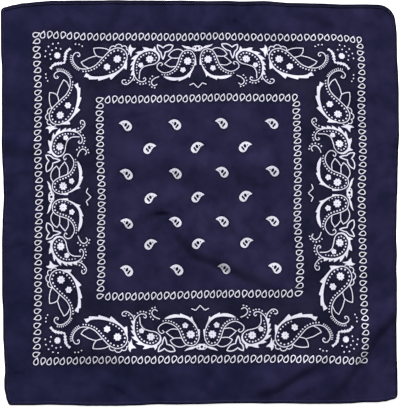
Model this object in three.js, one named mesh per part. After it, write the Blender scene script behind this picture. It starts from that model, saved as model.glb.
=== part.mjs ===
// Bandana: one square of thin printed cloth with a narrow turned hem on each edge, lying flat.
// Millimetres. +X is the right edge, +Y the back edge, +Z up. The origin is the middle of the
// underside, on the surface that the cloth rests on.
import * as THREE from 'three';

// Driving dimensions
const CLOTH_WIDTH = 540;
const CLOTH_DEPTH = 550;
const WALL = 1.0;
const HEM_WIDTH = 5.0;
const HEM_THICKNESS = 1.8;
const SEAM_GAP = 0.3;
const SMALLEST_RADIUS = 0.6;

// Share of a fold's length over which it rises from the flat cloth at each closed end
const CREST_FADE = 0.3;

// Mesh fineness: cells along each edge, and how much closer they stand at the corners
const CELLS = 52;
const CORNER_CROWDING = 0.45;
const ARC_STEPS = 8;
const EDGE_STEPS = 120;

const HALF_WIDTH = CLOTH_WIDTH / 2;
const HALF_DEPTH = CLOTH_DEPTH / 2;

// How far each edge wanders inside the square that bounds the cloth.
// at: distance along the edge from its middle, +X or +Y. inset: distance inside the square.
const EDGE_WANDER = {
  left: [
    { at: -272, inset: 9.9 }, { at: -262, inset: 6.9 }, { at: -249, inset: 4.7 },
    { at: -240, inset: 4.7 }, { at: -228, inset: 5.8 }, { at: -200, inset: 4.4 },
    { at: -180, inset: 3.2 }, { at: -150, inset: 3.1 }, { at: -122, inset: 1.8 },
    { at: -50, inset: 1.7 }, { at: -28, inset: 2.4 }, { at: 10, inset: 4 }, { at: 30, inset: 3.5 },
    { at: 66, inset: 1.8 }, { at: 90, inset: 1.6 }, { at: 180, inset: 1.6 },
    { at: 208, inset: 0.2 }, { at: 262, inset: 0 },
  ],
  right: [
    { at: -250, inset: 1.6 }, { at: -228, inset: 1.9 }, { at: -200, inset: 2.8 },
    { at: -150, inset: 3.1 }, { at: -109, inset: 2.4 }, { at: -88, inset: 3.2 },
    { at: -69, inset: 2.6 }, { at: -48, inset: 3.4 }, { at: -10, inset: 2.9 },
    { at: 30, inset: 1.7 }, { at: 70, inset: 0.8 }, { at: 95, inset: 0 }, { at: 150, inset: 0 },
    { at: 170, inset: 0.7 }, { at: 200, inset: 2.3 }, { at: 228, inset: 2.6 },
    { at: 241, inset: 3.6 }, { at: 262, inset: 4.4 },
  ],
  back: [
    { at: -264, inset: 9 }, { at: -252, inset: 6.1 }, { at: -240, inset: 3.7 },
    { at: -216, inset: 1.8 }, { at: -196, inset: 0.6 }, { at: -165, inset: 0 },
    { at: -70, inset: 0 }, { at: -20, inset: 0.5 }, { at: 35, inset: 1 }, { at: 69, inset: 1.5 },
    { at: 88, inset: 1.1 }, { at: 128, inset: 3.4 }, { at: 160, inset: 4 },
    { at: 195, inset: 5.4 }, { at: 225, inset: 5.2 }, { at: 242, inset: 5.6 },
  ],
  front: [
    { at: -255, inset: 0.9 }, { at: -230, inset: 0.8 }, { at: -205, inset: 1.4 },
    { at: -180, inset: 0.9 }, { at: -150, inset: 0 }, { at: -112, inset: 0 },
    { at: -88, inset: 0.5 }, { at: -55, inset: 2.1 }, { at: -30, inset: 1.9 },
    { at: -8, inset: 2.2 }, { at: 40, inset: 3.3 }, { at: 70, inset: 3.5 }, { at: 89, inset: 3 },
    { at: 110, inset: 3.4 }, { at: 150, inset: 2.7 }, { at: 185, inset: 2.8 },
    { at: 202, inset: 3.2 }, { at: 224, inset: 4.8 }, { at: 240, inset: 4.9 },
    { at: 252, inset: 6.2 }, { at: 262, inset: 9 },
  ],
};

// Radius of the cloth's outline at each corner
const CORNER_RADIUS = { front_left: 4, front_right: 7, back_right: 25, back_left: 7 };

// Soft ridges that the cloth keeps from being folded and handled.
// crest: its path as [x, y] points. open: the end of the path that runs off the cloth, if any.
// height: rise of the crest. front, back: how far it falls away on its -Y and +Y sides.
const FOLDS = [
  {
    crest: [[-33, -14], [-22, -40], [-3, -62], [30, -75], [71, -93], [118, -114]],
    open: '', height: 4.2, front: 18, back: 36,
  },
  {
    crest: [[-90, -22], [-60, -5], [-33, 13]],
    open: '', height: 2, front: 16, back: 18,
  },
  {
    crest: [[-140, 74], [-67, 60], [-20, 51], [30, 47], [80, 51], [136, 60]],
    open: '', height: 2.8, front: 22, back: 26,
  },
  {
    crest: [[-180, -188], [-150, -192], [-122, -197], [-90, -214], [-62, -231], [-28, -250]],
    open: '', height: 4.6, front: 19, back: 38,
  },
  {
    crest: [[72, -254], [100, -247], [133, -225], [165, -210]],
    open: '', height: 3.8, front: 18, back: 30,
  },
  {
    crest: [[172, -262], [200, -227], [216, -203], [236, -172], [264, -146]],
    open: 'to', height: 3.8, front: 18, back: 28,
  },
  {
    crest: [[232, 176], [246, 142], [254, 116], [268, 90]],
    open: 'to', height: 2.4, front: 18, back: 22,
  },
  {
    crest: [[-270, 82], [-245, 80], [-215, 76]],
    open: 'from', height: 2.2, front: 18, back: 18,
  },
  {
    crest: [[-264, 128], [-250, 165], [-232, 205]],
    open: '', height: 2.2, front: 18, back: 18,
  },
  {
    crest: [[-206, 276], [-200, 254], [-190, 232]],
    open: 'from', height: 2.2, front: 18, back: 20,
  },
  {
    crest: [[-114, 276], [-119, 262], [-139, 232]],
    open: 'from', height: 2.6, front: 16, back: 20,
  },
  {
    crest: [[-24, 276], [-30, 256], [-38, 232]],
    open: 'from', height: 2.2, front: 16, back: 20,
  },
  {
    crest: [[36, 276], [26, 254], [12, 232]],
    open: 'from', height: 2.6, front: 16, back: 22,
  },
  {
    crest: [[74, 276], [90, 250], [118, 228]],
    open: 'from', height: 2.6, front: 18, back: 24,
  },
];

// The hem's section, from its outer foot over the top to its inner foot.
// across: 0 at the cloth's edge, 1 at the seam line. rise: share of the hem's thickness.
const HEM_SECTION = [
  { across: 0.08, rise: 0 },
  { across: 0, rise: 0.45 },
  { across: 0.14, rise: 0.9 },
  { across: 0.42, rise: 1 },
  { across: 0.8, rise: 0.86 },
  { across: 1, rise: 0.5 },
  { across: 0.96, rise: 0 },
];

const CLOTH_COLOUR = 0x27263f;
const HEM_COLOUR = 0x222138;

// Each edge runs from its first corner to its second, anticlockwise seen from above.
// The outline is reached by sign * (half size - inset) on the axis across the edge.
const EDGES = {
  front: { corners: ['front_left', 'front_right'], along: 'x', sign: -1, half: HALF_DEPTH },
  right: { corners: ['front_right', 'back_right'], along: 'y', sign: 1, half: HALF_WIDTH },
  back: { corners: ['back_right', 'back_left'], along: 'x', sign: 1, half: HALF_DEPTH },
  left: { corners: ['back_left', 'front_left'], along: 'y', sign: -1, half: HALF_WIDTH },
};

// The two edges that meet at a corner, with the sides of the square that it lies on
const CORNERS = {
  front_left: { xEdge: 'left', yEdge: 'front' },
  front_right: { xEdge: 'right', yEdge: 'front' },
  back_right: { xEdge: 'right', yEdge: 'back' },
  back_left: { xEdge: 'left', yEdge: 'back' },
};

// Inset of an edge at a place along it, eased between the rows of its table
function wanderAt(edgeName, at) {
  const rows = EDGE_WANDER[edgeName];
  const last = rows[rows.length - 1];
  if (at <= rows[0].at) return rows[0].inset;
  if (at >= last.at) return last.inset;
  const next = rows.findIndex((row) => row.at > at);
  const low = rows[next - 1];
  const high = rows[next];
  const share = THREE.MathUtils.smoothstep(at, low.at, high.at);
  return THREE.MathUtils.lerp(low.inset, high.inset, share);
}

// A corner of the outline drawn `inset` inside the cloth's edge: its square point, the centre of
// its arc and the arc's radius
function cornerAt(cornerName, inset) {
  const { xEdge, yEdge } = CORNERS[cornerName];
  const signX = EDGES[xEdge].sign;
  const signY = EDGES[yEdge].sign;
  const x = signX * (HALF_WIDTH - wanderAt(xEdge, signY * HALF_DEPTH) - inset);
  const y = signY * (HALF_DEPTH - wanderAt(yEdge, signX * HALF_WIDTH) - inset);
  const radius = Math.max(CORNER_RADIUS[cornerName] - inset, SMALLEST_RADIUS);
  const centre = new THREE.Vector2(x - signX * radius, y - signY * radius);
  return { centre, radius, diagonal: Math.atan2(signY, signX) };
}

// Half of a corner's arc, from or to its middle; turn is the angle swept from the middle
function halfArc(corner, turn) {
  const points = [];
  for (let step = 0; step <= ARC_STEPS; step += 1) {
    const angle = corner.diagonal + (turn * step) / ARC_STEPS;
    const reach = new THREE.Vector2(Math.cos(angle), Math.sin(angle)).multiplyScalar(corner.radius);
    points.push(reach.add(corner.centre));
  }
  return points;
}

// One edge of the outline as a path between the middles of its two corner arcs
function edgePath(edgeName, inset) {
  const edge = EDGES[edgeName];
  const [start, end] = edge.corners.map((name) => cornerAt(name, inset));
  const first = halfArc(start, Math.PI / 4);
  const final = halfArc(end, -Math.PI / 4).reverse();
  const from = start.centre[edge.along];
  const to = end.centre[edge.along];
  const middle = [];
  for (let step = 1; step < EDGE_STEPS; step += 1) {
    const at = THREE.MathUtils.lerp(from, to, step / EDGE_STEPS);
    const across = edge.sign * (edge.half - wanderAt(edgeName, at) - inset);
    middle.push(edge.along === 'x' ? new THREE.Vector2(at, across) : new THREE.Vector2(across, at));
  }
  const path = new THREE.CurvePath();
  const points = [...first, ...middle, ...final];
  for (let index = 1; index < points.length; index += 1) {
    path.add(new THREE.LineCurve(points[index - 1], points[index]));
  }
  return path;
}

// Station along an edge, 0 to 1, closer together near the corners
function stationShare(index) {
  const even = index / CELLS;
  return even - (CORNER_CROWDING * Math.sin(2 * Math.PI * even)) / (2 * Math.PI);
}

// Distance from a point to a fold's crest, its place along the crest and which side it is on
function nearestOnCrest(fold, x, y) {
  const { crest } = fold;
  const parts = crest.length - 1;
  const nearest = { distance: Infinity, along: 0, behind: false };
  for (let part = 0; part < parts; part += 1) {
    const [startX, startY] = crest[part];
    const stepX = crest[part + 1][0] - startX;
    const stepY = crest[part + 1][1] - startY;
    const share = ((x - startX) * stepX + (y - startY) * stepY) / (stepX * stepX + stepY * stepY);
    const held = THREE.MathUtils.clamp(share, 0, 1);
    const awayX = x - startX - held * stepX;
    const awayY = y - startY - held * stepY;
    const distance = Math.hypot(awayX, awayY);
    if (distance < nearest.distance) {
      nearest.distance = distance;
      nearest.along = (part + held) / parts;
      nearest.behind = awayY > 0;
    }
  }
  return nearest;
}

// How much of a fold's height is left at a place along its crest, 0 at the start and 1 at the end
function crestFade(fold, along) {
  const rise = (share) => THREE.MathUtils.smoothstep(share, -CREST_FADE / 2, CREST_FADE);
  const start = fold.open === 'from' ? 1 : rise(along);
  const end = fold.open === 'to' ? 1 : rise(1 - along);
  return start * end;
}

// Height of the cloth's underside: zero where it lies flat, raised along the folds
function restHeight(x, y) {
  let height = 0;
  for (const fold of FOLDS) {
    const { distance, along, behind } = nearestOnCrest(fold, x, y);
    const reach = behind ? fold.back : fold.front;
    if (distance < reach) {
      const fall = (1 - (distance / reach) ** 2) ** 2;
      height += fold.height * fall * crestFade(fold, along);
    }
  }
  return height;
}

// A closed body from its vertices and triangles
function solid(name, vertices, triangles, colour) {
  const geometry = new THREE.BufferGeometry();
  geometry.setAttribute('position', new THREE.Float32BufferAttribute(vertices, 3));
  geometry.setIndex(triangles);
  geometry.computeVertexNormals();
  const material = new THREE.MeshStandardMaterial({ color: colour, roughness: 0.85, metalness: 0 });
  const mesh = new THREE.Mesh(geometry, material);
  mesh.name = name;
  return mesh;
}

// The panel: a wall between an upper and a lower sheet, whose outline is the seam line.
// Each sheet is blended from the four edges, so its rows follow their wander.
function makePanel() {
  const inset = HEM_WIDTH + SEAM_GAP;
  const sampled = {};
  for (const name of Object.keys(EDGES)) {
    const path = edgePath(name, inset);
    const points = [];
    for (let index = 0; index <= CELLS; index += 1) {
      points.push(path.getPointAt(stationShare(index)));
    }
    sampled[name] = points;
  }
  const front = sampled.front;
  const right = sampled.right;
  const back = [...sampled.back].reverse();
  const left = [...sampled.left].reverse();

  const blend = (column, row, axis) => {
    const u = stationShare(column);
    const v = stationShare(row);
    const edges = (1 - v) * front[column][axis] + v * back[column][axis]
      + (1 - u) * left[row][axis] + u * right[row][axis];
    const corners = (1 - v) * ((1 - u) * front[0][axis] + u * front[CELLS][axis])
      + v * ((1 - u) * back[0][axis] + u * back[CELLS][axis]);
    return edges - corners;
  };

  const vertices = [];
  const rowLength = CELLS + 1;
  for (const lift of [0, WALL]) {
    for (let row = 0; row <= CELLS; row += 1) {
      for (let column = 0; column <= CELLS; column += 1) {
        const x = blend(column, row, 'x');
        const y = blend(column, row, 'y');
        vertices.push(x, y, restHeight(x, y) + lift);
      }
    }
  }

  const upper = rowLength * rowLength;
  const triangles = [];
  for (let row = 0; row < CELLS; row += 1) {
    for (let column = 0; column < CELLS; column += 1) {
      const a = row * rowLength + column;
      const b = a + 1;
      const c = b + rowLength;
      const d = a + rowLength;
      triangles.push(a, c, b, a, d, c);
      triangles.push(upper + a, upper + b, upper + c, upper + a, upper + c, upper + d);
    }
  }
  const rim = [];
  for (let step = 0; step < CELLS; step += 1) rim.push(step);
  for (let step = 0; step < CELLS; step += 1) rim.push(step * rowLength + CELLS);
  for (let step = CELLS; step > 0; step -= 1) rim.push(CELLS * rowLength + step);
  for (let step = CELLS; step > 0; step -= 1) rim.push(step * rowLength);
  rim.forEach((a, index) => {
    const b = rim[(index + 1) % rim.length];
    triangles.push(a, b, upper + b, a, upper + b, upper + a);
  });
  return solid('panel', vertices, triangles, CLOTH_COLOUR);
}

// One hem: the rounded section swept along its edge, mitred at both corners
function makeHem(edgeName) {
  const paths = HEM_SECTION.map((point) => edgePath(edgeName, point.across * HEM_WIDTH));
  const vertices = [];
  for (let index = 0; index <= CELLS; index += 1) {
    HEM_SECTION.forEach((point, place) => {
      const mitre = SEAM_GAP / 2 / paths[place].getLength();
      const share = THREE.MathUtils.clamp(stationShare(index), mitre, 1 - mitre);
      const spot = paths[place].getPointAt(share);
      vertices.push(spot.x, spot.y, restHeight(spot.x, spot.y) + point.rise * HEM_THICKNESS);
    });
  }
  const ring = HEM_SECTION.length;
  const triangles = [];
  for (let index = 0; index < CELLS; index += 1) {
    for (let place = 0; place < ring; place += 1) {
      const a = index * ring + place;
      const b = index * ring + ((place + 1) % ring);
      triangles.push(a, b + ring, b, a, a + ring, b + ring);
    }
  }
  const lastRing = CELLS * ring;
  for (let place = 1; place < ring - 1; place += 1) {
    triangles.push(0, place, place + 1);
    triangles.push(lastRing, lastRing + place + 1, lastRing + place);
  }
  return solid(`hem_${edgeName}`, vertices, triangles, HEM_COLOUR);
}

const bandana = new THREE.Group();
bandana.add(makePanel());
for (const edgeName of Object.keys(EDGES)) {
  bandana.add(makeHem(edgeName));
}

export default bandana;
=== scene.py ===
"""Bandana: a printed square of thin cotton with narrow turned hems, lying flat on a pale floor."""
import math

import bpy
import numpy as np
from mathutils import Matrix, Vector
from mathutils.geometry import delaunay_2d_cdt


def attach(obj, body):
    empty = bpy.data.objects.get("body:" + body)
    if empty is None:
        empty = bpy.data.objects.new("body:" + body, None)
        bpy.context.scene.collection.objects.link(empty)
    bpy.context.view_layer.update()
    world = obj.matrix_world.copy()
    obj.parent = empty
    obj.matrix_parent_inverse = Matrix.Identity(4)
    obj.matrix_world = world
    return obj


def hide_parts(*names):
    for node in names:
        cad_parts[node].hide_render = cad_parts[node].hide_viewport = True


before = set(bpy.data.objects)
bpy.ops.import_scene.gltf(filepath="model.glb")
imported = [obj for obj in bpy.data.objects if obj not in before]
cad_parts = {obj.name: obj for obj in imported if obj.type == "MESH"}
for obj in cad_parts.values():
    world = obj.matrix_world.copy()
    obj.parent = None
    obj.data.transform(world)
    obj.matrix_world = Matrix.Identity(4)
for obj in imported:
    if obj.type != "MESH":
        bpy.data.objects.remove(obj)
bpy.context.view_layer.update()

# Lengths in the tables are millimetres; Blender's are metres
MM = 0.001

# The least length that anything is divided by
TINY = 1e-9

# The cloth
HALF_WIDTH = 270.0
HALF_DEPTH = 275.0
CLOTH_THICKNESS = 0.7
HEM_WIDTH = 5.0
HEM_THICKNESS = 1.8
MITRE_GAP = 0.04
PANEL_INSET = 3.5
SMALLEST_RADIUS = 0.6
CREST_FADE = 0.3
ARC_STEPS = 8
EDGE_STEPS = 120
GRID = 5.2

# How far each edge wanders inside the square that bounds the cloth: (place along the edge, inset)
EDGE_WANDER = {
    "left": [
        (-272, 9.9), (-262, 6.9), (-249, 4.7), (-240, 4.7), (-228, 5.8), (-200, 4.4), (-180, 3.2),
        (-150, 3.1), (-122, 1.8), (-50, 1.7), (-28, 2.4), (10, 4), (30, 3.5), (66, 1.8), (90, 1.6),
        (180, 1.6), (208, 0.2), (262, 0),
    ],
    "right": [
        (-250, 1.6), (-228, 1.9), (-200, 2.8), (-150, 3.1), (-109, 2.4), (-88, 3.2), (-69, 2.6),
        (-48, 3.4), (-10, 2.9), (30, 1.7), (70, 0.8), (95, 0), (150, 0), (170, 0.7), (200, 2.3),
        (228, 2.6), (241, 3.6), (262, 4.4),
    ],
    "back": [
        (-264, 9), (-252, 6.1), (-240, 3.7), (-216, 1.8), (-196, 0.6), (-165, 0), (-70, 0),
        (-20, 0.5), (35, 1), (69, 1.5), (88, 1.1), (128, 3.4), (160, 4), (195, 5.4), (225, 5.2),
        (242, 5.6),
    ],
    "front": [
        (-255, 0.9), (-230, 0.8), (-205, 1.4), (-180, 0.9), (-150, 0), (-112, 0), (-88, 0.5),
        (-55, 2.1), (-30, 1.9), (-8, 2.2), (40, 3.3), (70, 3.5), (89, 3), (110, 3.4), (150, 2.7),
        (185, 2.8), (202, 3.2), (224, 4.8), (240, 4.9), (252, 6.2), (262, 9),
    ],
}

# Radius of the outline at each corner
CORNER_RADIUS = {"front_left": 4, "front_right": 7, "back_right": 25, "back_left": 7}

# Each edge runs anticlockwise: its corners, the axis along it, its side and its half size
EDGES = {
    "front": (("front_left", "front_right"), 0, -1, HALF_DEPTH),
    "right": (("front_right", "back_right"), 1, 1, HALF_WIDTH),
    "back": (("back_right", "back_left"), 0, 1, HALF_DEPTH),
    "left": (("back_left", "front_left"), 1, -1, HALF_WIDTH),
}
CORNERS = {
    "front_left": ("left", "front"),
    "front_right": ("right", "front"),
    "back_right": ("right", "back"),
    "back_left": ("left", "back"),
}

# Soft ridges: crest, the end that is open, height, front reach, back reach and how much of the
# front reach the creased cloth takes
FOLDS = [
    ([(-33, -14), (-22, -40), (-3, -62), (30, -75), (71, -93), (118, -114)], "", 4.2, 18, 36, 0.95),
    ([(-90, -22), (-60, -5), (-33, 13)], "", 2, 16, 18, 0.9),
    ([(-140, 74), (-67, 60), (-20, 51), (30, 47), (80, 51), (136, 60)], "", 2.8, 22, 26, 1.5),
    (
        [(-180, -188), (-150, -192), (-122, -197), (-90, -214), (-62, -231), (-28, -250)],
        "", 4.6, 19, 38, 1.8,
    ),
    ([(72, -254), (100, -247), (133, -225), (165, -210)], "", 3.8, 18, 30, 0.8),
    ([(172, -262), (200, -227), (216, -203), (236, -172), (264, -146)], "to", 3.8, 18, 28, 0.8),
    ([(232, 176), (246, 142), (254, 116), (268, 90)], "to", 2.4, 18, 22, 1),
    ([(-270, 82), (-245, 80), (-215, 76)], "from", 2.2, 18, 18, 1.2),
    ([(-264, 128), (-250, 165), (-232, 205)], "", 2.2, 18, 18, 1.2),
    ([(-206, 276), (-200, 254), (-190, 232)], "from", 2.2, 18, 20, 1.2),
    ([(-114, 276), (-119, 262), (-139, 232)], "from", 2.6, 16, 20, 1.2),
    ([(-24, 276), (-30, 256), (-38, 232)], "from", 2.2, 16, 20, 1.2),
    ([(36, 276), (26, 254), (12, 232)], "from", 2.6, 16, 22, 1.2),
    ([(74, 276), (90, 250), (118, 228)], "from", 2.6, 18, 24, 1.3),
]

# Fine creases too small for the solid: crest, height, front reach, back reach
CREASES = [
    ([(-132, 119), (-90, 124), (-47, 132)], 0.9, 9, 14),
    ([(-19, 66), (-2, 76), (14, 90)], 0.9, 7, 11),
    ([(48, 68), (62, 72), (76, 80)], 0.8, 7, 11),
    ([(88, 84), (100, 92), (108, 104)], 0.6, 7, 11),
    ([(3, 4), (15, -22), (32, -60)], 1.2, 8, 13),
    ([(28, 4), (44, -28), (66, -58)], 1.1, 8, 14),
    ([(56, -6), (74, -34), (98, -62)], 0.8, 8, 14),
    ([(-118, -34), (-96, -26), (-78, -12)], 0.7, 7, 12),
    ([(-70, -262), (-46, -270), (-20, -272)], 0.8, 8, 12),
    ([(-140, -238), (-112, -246), (-86, -262)], 1.2, 8, 14),
    ([(-8, -236), (10, -250), (30, -262)], 0.9, 8, 12),
    ([(120, -262), (146, -252), (168, -238)], 1.0, 8, 12),
    ([(236, -232), (248, -214), (262, -200)], 1.0, 8, 12),
    ([(-262, -214), (-246, -226), (-226, -232)], 0.9, 8, 14),
    ([(-262, -60), (-250, -52), (-232, -48)], 0.8, 8, 12),
    ([(-258, 40), (-240, 46), (-224, 44)], 0.8, 8, 12),
    ([(236, 30), (250, 42), (264, 60)], 0.9, 8, 12),
    ([(234, -60), (248, -52), (264, -50)], 0.7, 8, 12),
    ([(-176, 262), (-172, 248), (-164, 236)], 1.0, 8, 12),
    ([(-86, 268), (-84, 250), (-92, 236)], 1.1, 8, 12),
    ([(2, 268), (-2, 252), (-10, 238)], 1.0, 8, 12),
    ([(150, 264), (166, 250), (188, 240)], 1.1, 9, 14),
    ([(206, 260), (222, 248), (240, 240)], 0.9, 9, 14),
    ([(60, 262), (54, 248), (60, 236)], 0.9, 8, 12),
    ([(-212, 100), (-190, 86), (-160, 78)], 1.0, 10, 14),
    ([(148, 66), (172, 74), (206, 78)], 0.9, 9, 14),
    ([(-206, 40), (-180, 30), (-150, 34)], 0.7, 9, 14),
    ([(-40, -160), (0, -154), (52, -166)], 0.8, 10, 14),
]

# Shares of a crest over which a crease rises at its ends
CREASE_FADE = (-0.1, 0.45)

# Low waves left by washing and handling: wavelength, direction in degrees, height
RIPPLES = [
    (118, 24, 0.16), (87, 71, 0.12), (64, 118, 0.10), (52, 158, 0.08),
    (43, 41, 0.07), (35, 97, 0.05), (29, 8, 0.04), (23, 137, 0.03),
]
RIPPLE_BIAS = 0.22

# Puckers of the cloth beside its hems: spacing, height and how far they reach in
PUCKER_PITCH = 13.0
PUCKER_HEIGHT = 0.28
PUCKER_REACH = 9.0

# How far along its puckers each edge begins, so that no two are alike
PUCKER_STARTS = {"right": 0.0, "left": 37.0, "back": 91.0, "front": 154.0}


def smoothstep(value, low, high):
    share = np.clip((value - low) / (high - low), 0.0, 1.0)
    return share * share * (3.0 - 2.0 * share)


def wander_at(edge, at):
    """Inset of an edge at places along it, eased between the rows of its table"""
    rows = np.array(EDGE_WANDER[edge], float)
    at = np.asarray(at, float)
    index = np.clip(np.searchsorted(rows[:, 0], at, side="right"), 1, len(rows) - 1)
    low, high = rows[index - 1], rows[index]
    share = smoothstep(at, low[..., 0], high[..., 0])
    return low[..., 1] + (high[..., 1] - low[..., 1]) * share


def corner_at(corner, inset):
    """Centre, radius and diagonal direction of a corner's arc"""
    x_edge, y_edge = CORNERS[corner]
    sign_x, sign_y = EDGES[x_edge][2], EDGES[y_edge][2]
    x = sign_x * (HALF_WIDTH - wander_at(x_edge, sign_y * HALF_DEPTH) - inset)
    y = sign_y * (HALF_DEPTH - wander_at(y_edge, sign_x * HALF_WIDTH) - inset)
    radius = max(CORNER_RADIUS[corner] - inset, SMALLEST_RADIUS)
    return np.array([x - sign_x * radius, y - sign_y * radius]), radius, math.atan2(sign_y, sign_x)


def edge_path(edge, inset):
    """One edge of the outline between the middles of its two corner arcs"""
    (first, last), axis, sign, half = EDGES[edge]
    start, end = corner_at(first, inset), corner_at(last, inset)
    points = []
    for step in range(ARC_STEPS + 1):
        angle = start[2] + math.pi / 4 * step / ARC_STEPS
        points.append(start[0] + start[1] * np.array([math.cos(angle), math.sin(angle)]))
    for step in range(1, EDGE_STEPS):
        at = start[0][axis] + (end[0][axis] - start[0][axis]) * step / EDGE_STEPS
        across = sign * (half - float(wander_at(edge, at)) - inset)
        points.append(np.array([at, across] if axis == 0 else [across, at]))
    for step in range(ARC_STEPS, -1, -1):
        angle = end[2] - math.pi / 4 * step / ARC_STEPS
        points.append(end[0] + end[1] * np.array([math.cos(angle), math.sin(angle)]))
    return np.array(points)


def outline_at(inset):
    """The closed outline of the cloth, drawn inside its edge"""
    return np.vstack([edge_path(edge, inset)[:-1] for edge in EDGES])


def near_crest(crest, x, y):
    """Distance to a crest, share along it, and whether a point is behind it"""
    best = np.full(x.shape, np.inf)
    along = np.zeros(x.shape)
    behind = np.zeros(x.shape, bool)
    parts = len(crest) - 1
    for part in range(parts):
        (start_x, start_y), (end_x, end_y) = crest[part], crest[part + 1]
        step_x, step_y = end_x - start_x, end_y - start_y
        share = ((x - start_x) * step_x + (y - start_y) * step_y) / (step_x**2 + step_y**2)
        share = np.clip(share, 0.0, 1.0)
        away_x = x - start_x - share * step_x
        away_y = y - start_y - share * step_y
        distance = np.hypot(away_x, away_y)
        nearer = distance < best
        best = np.where(nearer, distance, best)
        along = np.where(nearer, (part + share) / parts, along)
        behind = np.where(nearer, away_y > 0, behind)
    return best, along, behind


def ridge(crest, front, back, x, y):
    """Share of a crest's height at places beside it, and how far along the crest they are"""
    distance, along, behind = near_crest(crest, x, y)
    reach = np.where(behind, back, front)
    return np.clip(1.0 - (distance / reach) ** 2, 0.0, None) ** 2, along


def fold_height(x, y):
    """Rise of the cloth along its main folds"""
    height = np.zeros(x.shape)
    for crest, opening, rise, front, back, share in FOLDS:
        fall, along = ridge(crest, front * share, back, x, y)
        fade_in = 1.0 if opening == "from" else smoothstep(along, -CREST_FADE / 2, CREST_FADE)
        fade_out = 1.0 if opening == "to" else smoothstep(1 - along, -CREST_FADE / 2, CREST_FADE)
        height += rise * fall * fade_in * fade_out
    return height


def crease_height(x, y):
    """Rise of the cloth along its fine creases"""
    height = np.zeros(x.shape)
    for crest, rise, front, back in CREASES:
        fall, along = ridge(crest, front, back, x, y)
        fade = smoothstep(along, *CREASE_FADE) * smoothstep(1 - along, *CREASE_FADE)
        height += rise * fall * fade
    return height


def edge_distance(x, y):
    """Distance in from each edge of the cloth, and the place along that edge"""
    inward = {
        "right": (HALF_WIDTH - wander_at("right", y) - x, y),
        "left": (HALF_WIDTH - wander_at("left", y) + x, y),
        "back": (HALF_DEPTH - wander_at("back", x) - y, x),
        "front": (HALF_DEPTH - wander_at("front", x) + y, x),
    }
    return [(away, along + PUCKER_STARTS[edge]) for edge, (away, along) in inward.items()]


def small_relief(x, y):
    """Ripples of the cloth and puckers beside its hems"""
    height = np.full(x.shape, RIPPLE_BIAS)
    for index, (length, degrees, rise) in enumerate(RIPPLES):
        angle = math.radians(degrees)
        phase = 1.7 * index * index + 0.6
        bend = 0.9 * np.sin((x * math.sin(angle) - y * math.cos(angle)) / (1.3 * length) + phase)
        across = (x * math.cos(angle) + y * math.sin(angle)) * 2 * math.pi / length
        height += rise * np.sin(across + phase + bend)
    for distance, along in edge_distance(x, y):
        sway = 1.6 * np.sin(along / 31.0) + 0.9 * np.sin(along / 12.7 + 1.0)
        wave = np.sin(along * 2 * math.pi / PUCKER_PITCH + sway)
        strength = 0.55 + 0.45 * np.sin(along / 47.0 + 0.8)
        height += PUCKER_HEIGHT * strength * wave * np.exp(-np.abs(distance) / PUCKER_REACH)
    return np.clip(height, 0.0, None)


def cloth_height(x, y):
    """Height of the cloth's underside above the surface that it lies on"""
    return fold_height(x, y) + crease_height(x, y) + small_relief(x, y)


# Print

# The printed frame: half sizes of the two rings of drops, and the steps between drops
OUTER = 220.0
INNER = 133.2
OUTER_COLUMNS = 50
OUTER_ROWS = 47
INNER_ROW = 131.2
INNER_STEPS = 30

# Width of a drawn line, of a tick and of the open tulip's line
LINE = 1.15
TICK_WIDTH = 1.0
TULIP_WIDTH = 1.5

# Steps between the points of a curve and of a row of beads, and the points in small shapes
STEP = 1.3
BEAD_STEP = 0.25
KEY_STEPS = 24
SCALLOP_POINTS = 11
RING_POINTS = 8
PETAL_POINTS = 6
DROP_POINTS = 16

# How far a dot's first point and a flower's first petal are turned, in radians
RING_TURN = 0.3
PETAL_TURN = 0.4

# A drop's ink and the dyed cloth in it: length, width and slide towards the tip
DROP_RIM = (11.0, 9.5, 0.2)
DROP_EYE = (7.7, 6.5, -0.3)
DROP_TAPER = 1.1

# The ink on a triangle of the cloth, where 0 is none
INK, DEEP, FAINT = 1, 2, 3

# The ways that drops point, in degrees
UP, DOWN, LEFT, RIGHT = 73, 253, 200, 20

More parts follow.
